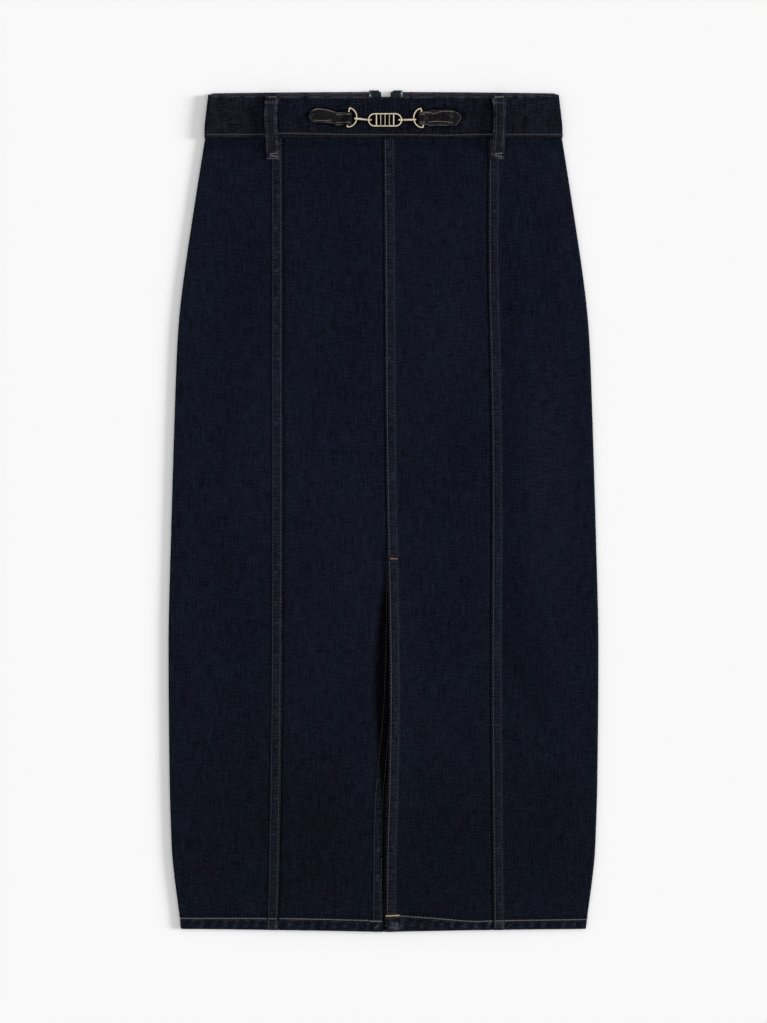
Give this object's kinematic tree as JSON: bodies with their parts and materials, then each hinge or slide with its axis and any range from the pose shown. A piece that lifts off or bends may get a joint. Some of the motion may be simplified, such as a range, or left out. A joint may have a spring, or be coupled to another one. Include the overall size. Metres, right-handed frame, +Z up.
{
  "type": "denim skirt",
  "caption": "Long dark denim pencil skirt laid flat on its back, panelled front with a centre slit, waistband with belt loops, chain link trim on tabs and a back zip.",
  "frame": {"origin": "middle of the skirt's box in plan, on the flat underside it rests on", "axes": "+X to the right of the skirt as seen from the front, +Y towards the waistband, +Z up, out of the skirt's front"},
  "size_m": [0.4388, 0.8576, 0.0139],
  "materials": {
    "denim": "raw dark indigo twill, matt, slightly slubby",
    "tape": "woven zip tape, matt",
    "gold": "polished pale gold plating",
    "zip_metal": "satin nickel"
  },
  "bodies": {
    "skirt": {"front_side_left": "denim", "front_centre_left": "denim", "front_centre_right": "denim", "front_side_right": "denim", "back_left": "denim", "back_right": "denim", "waistband_front": "denim", "waistband_back_left": "denim", "waistband_back_right": "denim", "belt_loop_left": "denim", "belt_loop_right": "denim", "tab_left": "denim", "tab_right": "denim", "zip_tape_left": "tape", "zip_tape_right": "tape", "bit_ring_left": "gold", "bit_ring_right": "gold", "bit_link": "gold", "zip_slider": "zip_metal"},
    "zip_pull": {"zip_pull": "zip_metal"}
  },
  "joints": [
    {"name": "zip_pull_swing", "type": "hinge", "parent": "skirt", "child": "zip_pull", "pos_m": [0.0025, 0.4045, 0.00095], "axis": [1, 0, 0], "range_deg": [0, 150]}
  ]
}
